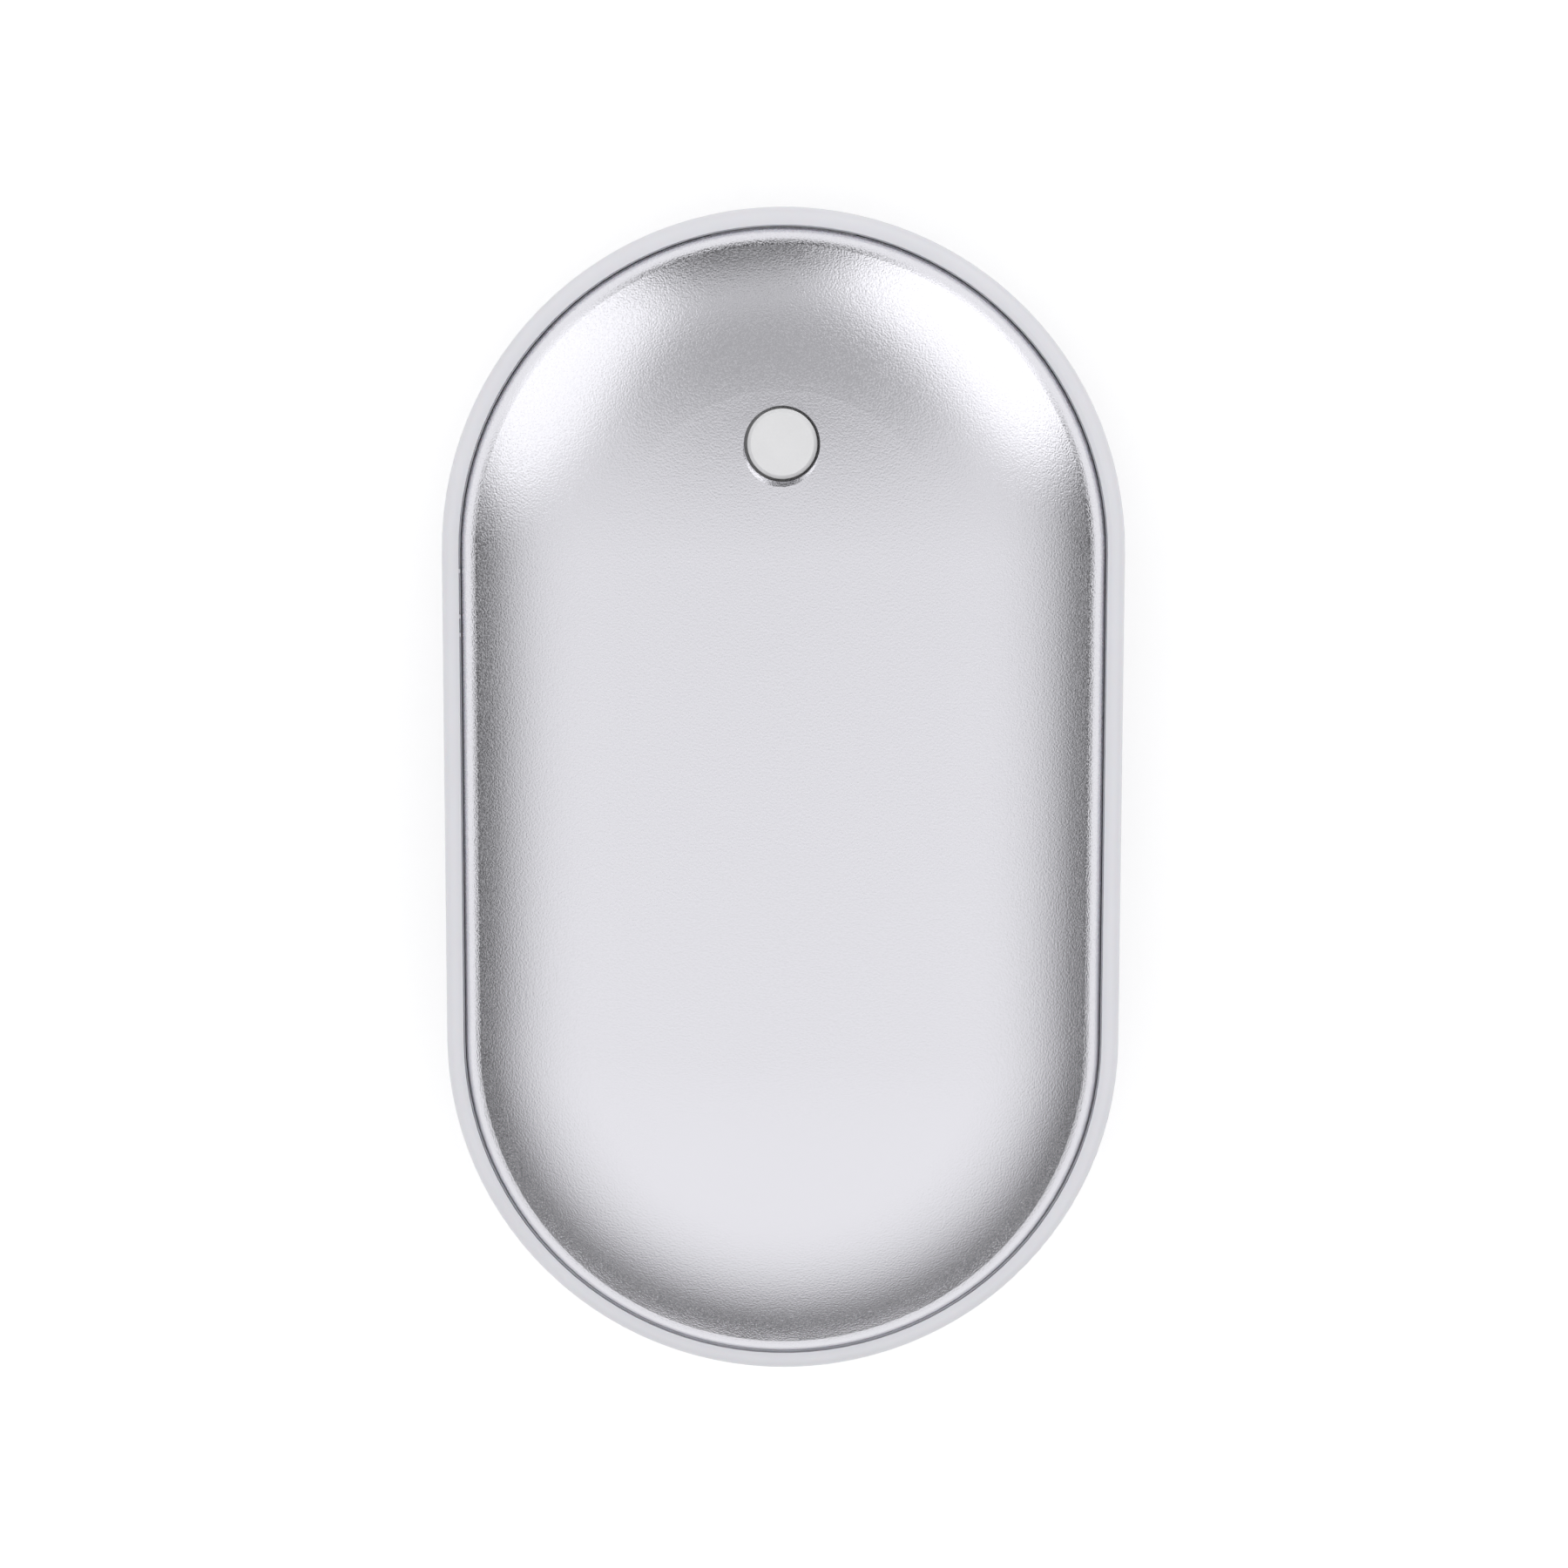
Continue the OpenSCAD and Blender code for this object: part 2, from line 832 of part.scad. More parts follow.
module usb_a_shell() {
    color("silver")
        difference() {
            union() {
                at_end(0)
                    socket_shell(usb_a_w, usb_a_h, usb_a_l, 0.4);
                for (x = [-1, 1])
                    translate([x * (usb_a_w / 2 + 0.75) - 0.8, end_y + socket_mouth - usb_a_l + 1, board_z])
                        cube([1.6, 3, socket_t]);
            }
            for (x = [-1, 1])
                for (z = [-1, 1])
                    translate([x * 3.2 - 0.8, end_y + socket_mouth - 7, z * usb_a_h / 2 - 1])
                        difference() {
                            cube([1.6, 4, 2]);
                            translate([0.35, -1, 0])
                                cube([0.9, 4.4, 2]);
                        }
        }
}

module usb_a_tongue() {
    color("white")
        at_end(0) {
            translate([-usb_a_tongue[0] / 2, usb_a_back, usb_a_tongue_z])
                cube([usb_a_tongue[0], usb_a_l - socket_t - socket_recess, usb_a_tongue[1]]);
            socket_plug(usb_a_w, usb_a_h, usb_a_back, usb_a_plug_l);
        }
}

// Block that closes a socket's back and holds its tongue
module socket_plug(w, h, back, l) {
    inset = socket_t + fit_gap;
    translate([inset - w / 2, back, inset - h / 2])
        cube([w - 2 * inset, l, h - 2 * inset]);
}

module usb_a_contacts() {
    contact = [1, 8, 0.2];
    color("gold")
        at_end(0)
            for (i = [0 : 3])
                translate([(i - 1.5) * 7 / 3 - contact[0] / 2, usb_a_back + usb_a_plug_l, usb_a_tongue_z - contact[2]])
                    cube(contact);
}

module micro_usb_shell() {
    color("silver")
        at_end(micro_angle)
            socket_shell(micro_w, micro_h, micro_l, 0.4);
}

module micro_usb_tongue() {
    color("black")
        at_end(micro_angle) {
            translate([-micro_tongue[0] / 2, micro_back, micro_tongue_z])
                cube([micro_tongue[0], micro_l - socket_t - 0.8, micro_tongue[1]]);
            socket_plug(micro_w, micro_h, micro_back, micro_plug_l);
        }
}

module micro_usb_contacts() {
    contact = [0.3, 2.6, 0.1];
    color("gold")
        at_end(micro_angle)
            for (i = [-2 : 2])
                translate([i * 0.65 - contact[0] / 2, micro_back + micro_plug_l, micro_tongue_z - contact[2]])
                    cube(contact);
}

module indicator_leds() {
    color("lightyellow")
        at_lamps()
            translate([-0.8, led_r - 0.4, board_z])
                cube([1.6, 0.8, 0.9]);
}

module light_guide() {
    color("aliceblue")
        union() {
            at_end(90 - lamp_angle - (lamp_count - 1) * lamp_step - 4)
                guide_bar();
            at_lamps()
                rotate([-90, 0, 0])
                    bar_z(pipe_d, guide_r - guide_t / 2, half_w - 0.35);
        }
}

// Arc that joins the light pipes and stands on the board
module guide_bar() {
    height = pipe_d / 2 + 0.3 - board_z;
    rotate_extrude(angle = (lamp_count - 1) * lamp_step + 8)
        translate([guide_r - guide_t, board_z])
            square([guide_t, height]);
}

// Ferrite block with a round core in a shallow well
module power_inductor() {
    well_floor = inductor[2] - 0.3;
    color("dimgray")
        translate([inductor_at[0], inductor_at[1], board_z]) {
            difference() {
                translate([-inductor[0] / 2, -inductor[1] / 2, 0])
                    cube(inductor);
                bar_z(4.2, well_floor, inductor[2] + 1);
            }
            bar_z(3.6, well_floor - 0.1, inductor[2] - 0.1);
        }
}

module control_chips() {
    color("black") {
        for (i = [0 : 1])
            on_board(upper_chips[i])
                cube(upper_chip_sizes[i]);
        under_board(lower_chip_at, lower_chip);
    }
}

module on_board(place) {
    translate([place[0], place[1], board_z])
        children();
}

// A block that hangs from the board's lower face
module under_board(place, size) {
    translate([place[0], place[1], board_bottom - size[2]])
        cube(size);
}

module chip_capacitors() {
    color("tan") {
        for (i = [0 : 2])
            on_board(edge_capacitors_at + [2.2 * i, 0])
                cube(edge_capacitor);
        for (i = [0 : 3])
            on_board(side_capacitors_at + [0, 1.5 * i])
                cube(side_capacitor);
        for (i = [0 : 2])
            under_board(lower_capacitors_at + [4 * i, 0], lower_capacitor);
    }
}

// Pouch cell: a block with rounded long edges
module battery_cell() {
    color("lightsteelblue")
        translate([0, battery_mid_y, 0])
            rotate([90, 0, 0])
                linear_extrude(battery_l, center = true)
                    rounded_slot(battery_w, battery_h, battery_r);
}

module battery_end_board() {
    color("darkgreen")
        translate([-16, battery_y + fit_gap, -1.6])
            cube([32, tab_l - 0.6, 1]);
}

module battery_tabs() {
    color("silver")
        for (x = [-9, 9])
            translate([x - 2.5, battery_y, -0.6])
                cube([5, tab_l - 1, 0.2]);
}

module front_foam() {
    color("slategray")
        foam_sheet();
}

module back_foam() {
    color("slategray")
        turned_over()
            foam_sheet();
}

// Sheet on a battery face, narrow enough to stay clear of the dome that closes in on its corners
module foam_sheet() {
    foam_l = battery_l - 2 * foam_end;
    translate([-foam_w / 2, battery_mid_y - foam_l / 2, battery_h / 2])
        cube([foam_w, foam_l, foam_t]);
}

// The wires' points are measured along Y from the axis of the rounded end, and their
// lower ends from the board's faces
module battery_lead_red() {
    color("red")
        translate([0, end_y, 0])
            wire([
                [-14, -0.75, 0.15], [-14, 0.85, 0.5], [-13.6, 2.65, 0.9],
                [-13, 4.25, board_z + 1.7], [-12.6, 5.65, board_z + 1], [-12.6, 6.65, board_z + 0.8]
            ], wire_d);
}

module battery_lead_black() {
    color("black")
        translate([0, end_y, 0])
            wire([
                [14, -0.75, 0.15], [14, 0.85, 0.5], [13.2, 2.45, 1.2],
                [9, 3.45, 1.2], [5.6, 3.85, board_z + 1.7], [3.6, 4.65, board_z + 0.8]
            ], wire_d);
}

module front_heater_leads() {
    x = heater_lead_at[0];
    color("white")
        for (side = [0, 1])
            mirror([side, 0, 0])
                translate([0, end_y, 0])
                    wire([
                        [x, -1.15, heater_lead_z], [x, -1.15, heater_lead_z - 2.2],
                        [x, 0.25, heater_lead_z - 4.6], [x, 3.25, board_z + 5.3],
                        [x, 6.25, board_z + 2.3], [x - 0.2, 9.25, board_z + 0.8]
                    ], wire_d);
}

module back_heater_leads() {
    x = heater_lead_at[0];
    color("white")
        for (side = [0, 1])
            mirror([side, 0, 0])
                translate([0, end_y, 0])
                    wire([
                        [x, -1.15, -heater_lead_z], [x, -1.15, 2.2 - heater_lead_z],
                        [x, 0.25, board_bottom - 4.5], [x, 3.25, board_bottom - 2.5],
                        [x + 0.4, 5.25, board_bottom - 1.2], [x + 0.4, 6.65, board_bottom - 0.8]
                    ], wire_d);
}

module front_thermistor() {
    x = thermistor_at[0];
    color("black")
        translate([x, thermistor_at[1], thermistor_z])
            sphere(d = thermistor_d);
    color("yellow")
        translate([0, end_y, 0])
            wire([
                [x, -0.95, thermistor_z - 0.6], [x + 0.4, 0.25, thermistor_z - 2.6],
                [x + 1, 1.85, board_z + 6.3], [x + 1.6, 3.45, board_z + 3.9],
                [x + 1.9, 4.65, board_z + 1.7], [x + 1.9, 5.25, board_z + 0.4]
            ], sensor_wire_d);
}

module thermal_fuse() {
    color("silver")
        translate([-4, battery_y + 0.2, -0.6])
            cube([8, 2.2, 1.6]);
}

module board_screws() {
    color("silver")
        pair(board_post) {
            bar_z(board_screw_d, board_bottom - 3.5, board_z);
            difference() {
                bar_z(3.2, board_z, board_z + 1.1);
                bar_z(1.5, board_z + 0.5, board_z + 2);
            }
        }
}

module case_screw() {
    bar_z(case_screw_d, screw_tip_z, screw_seat_z);
    difference() {
        bar_z(screw_head_d, screw_seat_z, screw_seat_z + screw_head_t);
        for (turn = [0, 90])
            rotate(turn)
                translate([-1.1, -0.25, screw_seat_z + screw_head_t / 2])
                    cube([2.2, 0.5, screw_head_t]);
    }
}

module case_screws() {
    color("silver") {
        pair(top_boss)
            case_screw();
        pair(low_boss)
            case_screw();
    }
}

// Raises the part so that the back shell rests at the origin
module on_table() {
    translate([0, 0, half_h - rest_cut])
        children();
}

on_table() front_shell();
on_table() back_shell();
on_table() mid_frame();
on_table() front_carrier();
on_table() back_carrier();
on_table() front_adhesive();
on_table() back_adhesive();
on_table() front_heater_film();
on_table() back_heater_film();
on_table() front_heater_track();
on_table() back_heater_track();
on_table() button_cap();
on_table() switch_housing();
on_table() switch_cover();
on_table() switch_dome();
on_table() switch_plunger();
on_table() switch_legs();
on_table() main_board();
on_table() usb_a_shell();
on_table() usb_a_tongue();
on_table() usb_a_contacts();
on_table() micro_usb_shell();
on_table() micro_usb_tongue();
on_table() micro_usb_contacts();
on_table() indicator_leds();
on_table() light_guide();
on_table() power_inductor();
on_table() control_chips();
on_table() chip_capacitors();
on_table() battery_cell();
on_table() battery_end_board();
on_table() battery_tabs();
on_table() front_foam();
on_table() back_foam();
on_table() battery_lead_red();
on_table() battery_lead_black();
on_table() front_heater_leads();
on_table() back_heater_leads();
on_table() front_thermistor();
on_table() thermal_fuse();
on_table() board_screws();
on_table() case_screws();
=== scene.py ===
import json
import math

import bmesh
import bpy
from mathutils import Matrix, Vector


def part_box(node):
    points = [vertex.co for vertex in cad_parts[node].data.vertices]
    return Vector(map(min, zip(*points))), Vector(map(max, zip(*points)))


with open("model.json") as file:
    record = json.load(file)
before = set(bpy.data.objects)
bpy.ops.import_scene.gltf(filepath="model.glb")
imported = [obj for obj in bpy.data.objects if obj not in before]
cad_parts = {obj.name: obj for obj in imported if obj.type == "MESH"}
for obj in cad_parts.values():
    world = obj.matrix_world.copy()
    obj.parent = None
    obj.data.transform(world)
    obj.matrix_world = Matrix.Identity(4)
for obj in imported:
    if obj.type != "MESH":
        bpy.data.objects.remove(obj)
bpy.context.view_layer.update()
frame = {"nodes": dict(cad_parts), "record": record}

MM = 0.001
nodes = frame["nodes"]

# Camera
MID_Z = 12.9 * MM           # height of the band's middle plane
TILT = math.radians(7)      # lean of the view from overhead towards +Y
TWIST = 0.015               # lean towards +X, in radians
ROLL = 0.0012               # turn of the picture in its own plane, in radians
DISTANCE = 298.6 * MM       # from the object's middle to the camera
PICTURE = 1800              # width and height of the picture, in pixels
PX_PER_MM = 12.827          # scale at the object's middle
CENTRE_PX = (899.0, 912.3)  # where the object's middle lies in the picture
SENSOR = 36.0               # mm
NEAR = 0.01                 # nearest and furthest thing in view, in metres
FAR = 20

# Case
HOLE_R = 3.175              # the button's hole in the front shell, mm

# Studio
STUDIO_R = 12.0             # metres: half the floor's width and the dome's radius
FLOOR_Z = -0.02 * MM        # a hair under the part, so that no two faces coincide
FLOOR_COLOUR = 0.8          # share of the light that it scatters back
FLOOR_GLOW = 0.36           # light of its own, with which it shows as white
DOME_LIGHT = 1.18           # factor on all of the dome's light
# The dome's light by the angle from overhead in degrees: even on top, dark walls low down
DOME_LEVELS = [
    (0, 0.88), (40, 0.90), (50, 0.85), (58, 0.73), (65, 0.53),
    (72, 0.28), (79, 0.09), (86, 0.03), (90, 0.03),
]
GAP_DEPTH = 0.42            # share of the light that is missing above the +Y side
LOW_LIGHT = 0.10            # light added low down on the -Y side
# Soft boxes right and left of the gap: azimuth from +Y and half width in degrees, and strength
SOFT_BOXES = [(43, 35, 1.40), (-54, 31, 1.28)]
BOX_ZENITH = 68             # degrees from overhead to the middle of each box
BOX_HALF_HEIGHT = 27        # degrees
LAMP_PLACE = Vector((-0.25, 0.3, 1.2))
LAMP_SIZE = 1.2             # metres across
LAMP_POWER = 0.5            # watts

METAL = {"scale": 6.0, "grit": 0.05, "metallic": 1.0}
# Material slots with a plain finish: the darker and the lighter colour, then plain()'s other settings
PLAIN_FINISHES = {
    "white_button": ((0.74, 0.74, 0.752), (0.77, 0.77, 0.782), {"rough": 0.42, "scale": 5.0, "grit": 0.05}),
    "carrier_plastic": ((0.74, 0.73, 0.70), (0.80, 0.79, 0.76), {"rough": 0.5}),
    "adhesive": ((0.66, 0.56, 0.34), (0.74, 0.64, 0.42), {"rough": 0.6}),
    "polyimide": ((0.72, 0.36, 0.07), (0.82, 0.46, 0.11), {"rough": 0.25, "scale": 1.5, "grit": 0.02}),
    "heating_foil": ((0.62, 0.42, 0.28), (0.74, 0.54, 0.38), {"rough": 0.35, "scale": 4.0, "metallic": 1.0}),
    "black_plastic": ((0.022, 0.022, 0.025), (0.04, 0.04, 0.045), {"rough": 0.45}),
    "spring_steel": ((0.62, 0.62, 0.62), (0.74, 0.74, 0.74), {"rough": 0.3, **METAL}),
    "socket_steel": ((0.66, 0.66, 0.67), (0.78, 0.78, 0.79), {"rough": 0.24, **METAL}),
    "gold_contacts": ((0.80, 0.58, 0.24), (0.94, 0.70, 0.32), {"rough": 0.25, **METAL}),
    "white_insulator": ((0.84, 0.84, 0.82), (0.90, 0.90, 0.88), {"rough": 0.5}),
    "board": ((0.035, 0.20, 0.09), (0.06, 0.28, 0.13), {"rough": 0.4}),
    "led_resin": ((0.86, 0.82, 0.55), (0.94, 0.90, 0.64), {"rough": 0.3}),
    "clear_plastic": ((0.84, 0.86, 0.88), (0.90, 0.92, 0.94), {"rough": 0.25, "grit": 0.02}),
    "ferrite": ((0.09, 0.09, 0.10), (0.15, 0.15, 0.16), {"rough": 0.7, "scale": 6.0, "grit": 0.3}),
    "capacitor_ceramic": ((0.54, 0.42, 0.29), (0.66, 0.54, 0.40), {"rough": 0.5}),
    "pouch_foil": ((0.60, 0.62, 0.66), (0.70, 0.72, 0.76), {"rough": 0.35, "scale": 1.0, "metallic": 1.0}),
    "foam": ((0.22, 0.24, 0.27), (0.34, 0.36, 0.39), {"rough": 0.9, "scale": 5.0, "grit": 0.6}),
    "wire_red": ((0.52, 0.02, 0.02), (0.64, 0.04, 0.04), {"rough": 0.5}),
    "wire_black": ((0.02, 0.02, 0.02), (0.04, 0.04, 0.04), {"rough": 0.5}),
    "wire_white": ((0.78, 0.78, 0.76), (0.84, 0.84, 0.82), {"rough": 0.5}),
    "screw_steel": ((0.64, 0.64, 0.64), (0.76, 0.76, 0.76), {"rough": 0.3, **METAL}),
}


def make_camera():
    """The photograph's view: from overhead, leaning a little towards +Y and +X."""
    back = Vector((
        math.sin(TWIST) * math.cos(TILT),
        math.sin(TILT),
        math.cos(TILT) * math.cos(TWIST),
    )).normalized()
    up = (Vector((0, 1, 0)) - back.y * back).normalized()
    right = up.cross(back)
    c, s = math.cos(ROLL), math.sin(ROLL)
    right, up = c * right + s * up, c * up - s * right
    data = bpy.data.cameras.new("camera")
    data.sensor_width = SENSOR
    data.lens = SENSOR * PX_PER_MM * DISTANCE / MM / PICTURE
    data.shift_x = (PICTURE / 2 - CENTRE_PX[0]) / PICTURE
    data.shift_y = (CENTRE_PX[1] - PICTURE / 2) / PICTURE
    data.clip_start = NEAR
    data.clip_end = FAR
    camera = bpy.data.objects.new("camera", data)
    turn = Matrix((right, up, back)).transposed().to_4x4()
    camera.matrix_world = Matrix.Translation(Vector((0, 0, MID_Z)) + DISTANCE * back) @ turn
    bpy.context.scene.collection.objects.link(camera)
    bpy.context.scene.camera = camera


# Node helpers
class Tree:
    """A short way to write a node tree: each call makes a node, sets it up and links its inputs."""

    def __init__(self, tree):
        self.tree = tree
        tree.nodes.clear()

    def node(self, kind, inputs=None, **settings):
        n = self.tree.nodes.new(kind)
        for name, value in settings.items():
            setattr(n, name, value)
        for name, value in (inputs or {}).items():
            self.feed(n.inputs[name], value)
        return n

    def feed(self, socket, value):
        """Link another node's output to the socket, or set the socket to a constant."""
        if isinstance(value, bpy.types.NodeSocket):
            self.tree.links.new(value, socket)
        else:
            socket.default_value = value

    def math(self, operation, a, b=0.0):
        return self.node("ShaderNodeMath", {0: a, 1: b}, operation=operation).outputs[0]

    def product(self, a, b):
        return self.math("MULTIPLY", a, b)

    def vector(self, operation, a, b=(0, 0, 0)):
        return self.node("ShaderNodeVectorMath", {0: a, 1: b}, operation=operation)

    def linear(self, value, low, high, out_low=0.0, out_high=1.0, kind="LINEAR"):
        """Map low..high to out_low..out_high, and hold the end values past them."""
        n = self.node("ShaderNodeMapRange", {
            "Value": value, "From Min": low, "From Max": high, "To Min": out_low, "To Max": out_high,
        }, interpolation_type=kind)
        return n.outputs["Result"]

    def smooth(self, value, low, high):
        """From 0 at low to 1 at high, with soft ends."""
        return self.linear(value, low, high, kind="SMOOTHERSTEP")

    def ramp(self, value, stops):
        """Colours between stops, each a position from 0 to 1 and its colour."""
        n = self.node("ShaderNodeValToRGB", {0: value})
        elements = n.color_ramp.elements
        elements.remove(elements[-1])
        elements[0].position, elements[0].color = stops[0]
        for position, colour in stops[1:]:
            elements.new(position).color = colour
        return n.outputs["Color"]

    def noise(self, where, scale, detail=2.0, roughness=0.5):
        n = self.node("ShaderNodeTexNoise", {
            "Vector": where, "Scale": scale, "Detail": detail, "Roughness": roughness,
        })
        return n.outputs[0]

    def mix(self, factor, a, b):
        # inputs 6 and 7 and output 2 are the node's colour sockets
        n = self.node("ShaderNodeMix", {"Factor": factor, 6: a, 7: b}, data_type="RGBA")
        return n.outputs[2]


def new_material(name):
    material = bpy.data.materials.new(name)
    material.use_nodes = True
    return material, Tree(material.node_tree)


def rgb(r, g, b):
    return (r, g, b, 1.0)


def grey(level):
    return rgb(level, level, level)


def surface(t, colour, roughness, normal, **constants):
    """A Principled surface. Constants go on the shader's own sockets, so that the export keeps them."""
    shader = t.node("ShaderNodeBsdfPrincipled", {
        "Base Color": colour, "Roughness": roughness, "Normal": normal,
    })
    for name, value in constants.items():
        shader.inputs[name.replace("_", " ")].default_value = value
    t.node("ShaderNodeOutputMaterial", {"Surface": shader.outputs[0]})


def place(t):
    """Position on the object, in millimetres."""
    where = t.node("ShaderNodeTexCoord").outputs["Object"]
    return t.vector("MULTIPLY", where, (1 / MM, 1 / MM, 1 / MM)).outputs["Vector"]


def bump(t, height, strength, distance_mm):
    n = t.node("ShaderNodeBump", {"Height": height, "Strength": strength, "Distance": distance_mm * MM})
    return n.outputs[0]


# Materials: scales are noise cells per millimetre
def satin_aluminium():
    """Blasted and anodised sheet: sparkling grain, faint clouds, and painted shade on the wall of the
    button's hole.
    """
    material, t = new_material("satin_aluminium")
    where = place(t)
    grain = t.noise(where, 6.0, 1.0)
    cloud = t.noise(where, 0.06)
    colour = t.ramp(grain, [(0.25, rgb(0.682, 0.677, 0.716)), (0.75, rgb(0.695, 0.690, 0.730))])
    # distance from the button's axis
    low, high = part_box("button_cap")
    axis = ((low[0] + high[0]) / 2 / MM, (low[1] + high[1]) / 2 / MM, 0)
    level = t.vector("MULTIPLY", where, (1, 1, 0)).outputs["Vector"]
    off = t.vector("DISTANCE", level, axis).outputs["Value"]
    # painted shade: the hole's wall is painted dark where its shadow falls, and the colour of the face is
    # back 0.05 mm outside it;
    # the height isn't tested, so the back shell has the same painted dark circle in the same place
    hole_wall_shade = t.smooth(off, HOLE_R + 0.05, HOLE_R + 0.02)
    # the painted shade of the hole's wall is mixed into the colour here
    colour = t.mix(hole_wall_shade, colour, rgb(0.10, 0.10, 0.105))
    # the grain grows stronger from y = -48 mm to y = 10 mm, towards the button end
    y = t.node("ShaderNodeSeparateXYZ", {0: where}).outputs[1]
    depth = t.product(t.linear(grain, 0.35, 0.65, -1.0, 1.0), t.linear(y, -48, 10, 0.02, 0.085))
    rough = t.math("ADD", t.linear(cloud, 0.3, 0.7, 0.20, 0.22), depth)
    surface(t, colour, rough, bump(t, grain, 1.0, 0.02), Metallic=1.0)
    return material


def white_band():
    """Moulded white plastic with a slight cool tint and a very fine texture."""
    material, t = new_material("white_band")
    where = place(t)
    fine = t.noise(where, 6.0)
    cloud = t.noise(where, 0.12)
    colour = t.ramp(cloud, [(0.3, rgb(0.75, 0.75, 0.79)), (0.7, rgb(0.77, 0.77, 0.81))])
    rough = t.linear(fine, 0.3, 0.7, 0.36, 0.44)
    normal = bump(t, fine, 0.08, 0.02)
    surface(t, colour, rough, normal, Subsurface_Weight=0.08, Subsurface_Scale=0.6 * MM)
    return material


def plain(name, dark, light, rough, scale=3.0, grit=0.1, metallic=0.0):
    """A surface whose colour and roughness vary a little between the two colours."""
    material, t = new_material(name)
    where = place(t)
    fine = t.noise(where, scale, 3.0, 0.6)
    cloud = t.noise(where, scale * 0.08)
    both = t.math("ADD", t.product(fine, 0.5), t.product(cloud, 0.5))
    colour = t.ramp(both, [(0.35, rgb(*dark)), (0.65, rgb(*light))])
    roughness = t.linear(fine, 0.3, 0.7, rough - 0.05, rough + 0.05)
    surface(t, colour, roughness, bump(t, fine, grit, 0.03), Metallic=metallic)
    return material


def dress():
    """Give every node the material of its slot in the record."""
    made = {"satin_aluminium": satin_aluminium(), "white_band": white_band()}
    for name, (dark, light, finish) in PLAIN_FINISHES.items():
        made[name] = plain(name, dark, light, **finish)
    slots = {p["node"]: p["material_slot"] for p in frame["record"]["subparts"]}
    for name, obj in nodes.items():
        obj.data.materials.clear()
        obj.data.materials.append(made[slots[name]])


# Floor, studio, world and lamp
def add_stage(name, bm, z=0.0):
    """Make a stage object, which isn't part of the hand warmer, and its empty material."""
    mesh = bpy.data.meshes.new(name)
    bm.to_mesh(mesh)
    bm.free()
    piece = bpy.data.objects.new(name, mesh)
    piece.location.z = z
    bpy.context.scene.collection.objects.link(piece)
    material, t = new_material(name)
    mesh.materials.append(material)
    return piece, material, t


def make_floor():
    """A white floor. The camera, metal and glass see the same white, and it keeps the object's shadow."""
    bm = bmesh.new()
    bmesh.ops.create_grid(bm, x_segments=1, y_segments=1, size=STUDIO_R)
    _, material, t = add_stage("floor", bm, FLOOR_Z)
    rays = t.node("ShaderNodeLightPath").outputs
    seen = t.math("MAXIMUM", rays["Is Camera Ray"], rays["Is Glossy Ray"])
    seen = t.math("MAXIMUM", seen, rays["Is Transmission Ray"])
    diffuse = t.node("ShaderNodeBsdfDiffuse", {"Color": grey(FLOOR_COLOUR)})
    glow = t.node("ShaderNodeEmission", {"Color": grey(1), "Strength": t.product(seen, FLOOR_GLOW)})
    both = t.node("ShaderNodeAddShader", {0: diffuse.outputs[0], 1: glow.outputs[0]})
    t.node("ShaderNodeOutputMaterial", {"Surface": both.outputs[0]})
    material.cycles.emission_sampling = "NONE"


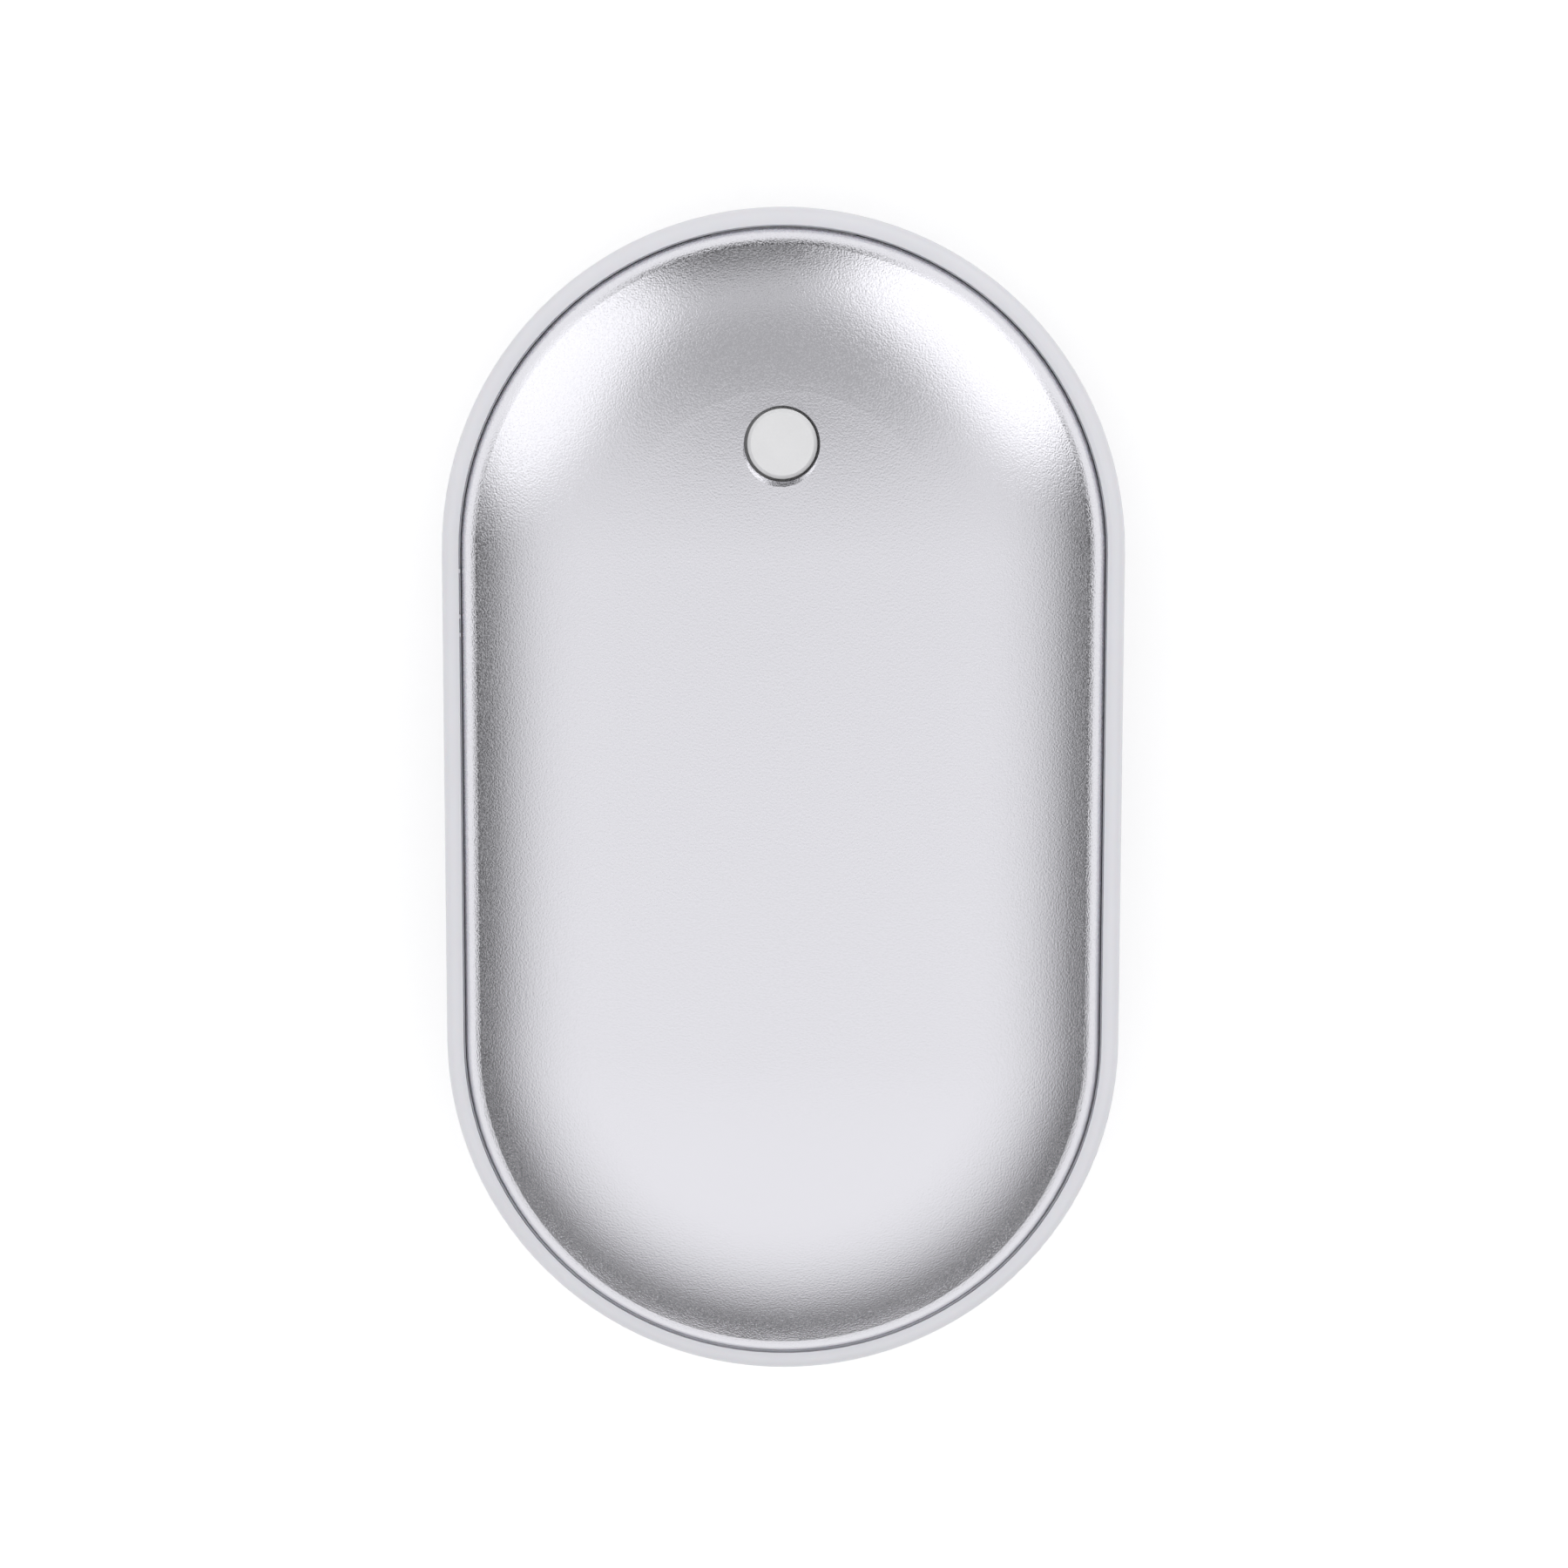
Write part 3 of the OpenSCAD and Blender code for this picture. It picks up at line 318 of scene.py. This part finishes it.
def dome_strength(t):
    """The dome's light in each direction from the object."""
    where = t.node("ShaderNodeTexCoord").outputs["Object"]
    way = t.vector("NORMALIZE", where)
    x, y, z = t.node("ShaderNodeSeparateXYZ", {0: way.outputs["Vector"]}).outputs
    # angle from overhead, in degrees
    zenith = t.product(t.math("ARCCOSINE", z), 180 / math.pi)
    level = t.ramp(t.math("DIVIDE", zenith, 180), [(angle / 180, grey(v)) for angle, v in DOME_LEVELS])
    # share of the level direction that points to +Y, with no division by nothing overhead
    flat = t.math("SQRT", t.math("MAXIMUM", t.math("SUBTRACT", 1.0, t.product(z, z)), 1e-6))
    north = t.math("DIVIDE", y, flat)
    # a dimmer gap above the +Y side
    gap = t.product(t.smooth(north, 0.35, 0.98), t.smooth(zenith, 4, 26))
    gap = t.product(gap, t.smooth(zenith, 62, 42))
    total = t.product(level, t.math("SUBTRACT", 1.0, t.product(gap, GAP_DEPTH)))
    # more light from the -Y side
    total = t.product(total, t.linear(y, -0.26, 0.16, 1.09, 0.90))
    low = t.product(t.smooth(north, -0.2, -0.9), t.smooth(zenith, 50, 75))
    total = t.math("ADD", total, t.product(low, LOW_LIGHT))
    azimuth = t.product(t.math("ARCTAN2", x, y), 180 / math.pi)
    for middle, half_width, strength in SOFT_BOXES:
        # distance from the box's middle, which is 1 at its edge
        across = t.math("DIVIDE", t.math("SUBTRACT", azimuth, middle), half_width)
        along = t.math("DIVIDE", t.math("SUBTRACT", zenith, BOX_ZENITH), BOX_HALF_HEIGHT)
        off = t.math("SQRT", t.math("ADD", t.product(across, across), t.product(along, along)))
        box = t.product(t.smooth(off, 1.2, 0.6), t.math("SUBTRACT", strength, level))
        total = t.math("ADD", total, t.math("MAXIMUM", box, 0.0))
    return t.product(total, DOME_LIGHT)


def make_studio():
    """The studio as a wide dome: even light overhead, dark walls low down, and two soft boxes on the +Y side.

    It lights the object and shows in the metal. The camera looks past it at the white world.
    """
    bm = bmesh.new()
    bmesh.ops.create_uvsphere(bm, u_segments=64, v_segments=32, radius=STUDIO_R)
    # the ring on the horizon stays, with room for rounding
    below = [v for v in bm.verts if v.co.z < -0.01 * STUDIO_R]
    bmesh.ops.delete(bm, geom=below, context="VERTS")
    dome, _, t = add_stage("studio", bm)
    dome.visible_camera = False
    light = t.node("ShaderNodeEmission", {"Color": grey(1), "Strength": dome_strength(t)})
    t.node("ShaderNodeOutputMaterial", {"Surface": light.outputs[0]})


def make_world():
    """Plain white, at the strength that shows as white."""
    world = bpy.data.worlds.new("white")
    bpy.context.scene.world = world
    world.use_nodes = True
    t = Tree(world.node_tree)
    white = t.node("ShaderNodeBackground", {"Color": grey(1), "Strength": 1.0})
    t.node("ShaderNodeOutputWorld", {"Surface": white.outputs[0]})


def make_lamp():
    """Soft fill from overhead. It adds even light and no reflection of its own."""
    data = bpy.data.lights.new("fill", "AREA")
    data.shape = "DISK"
    data.size = LAMP_SIZE
    data.energy = LAMP_POWER
    lamp = bpy.data.objects.new("fill", data)
    lamp.location = LAMP_PLACE
    lamp.rotation_euler = (-LAMP_PLACE).to_track_quat("-Z", "Y").to_euler()
    lamp.visible_glossy = False
    bpy.context.scene.collection.objects.link(lamp)


bpy.context.scene.view_settings.view_transform = "Standard"
make_camera()
make_floor()
make_studio()
make_world()
make_lamp()
dress()
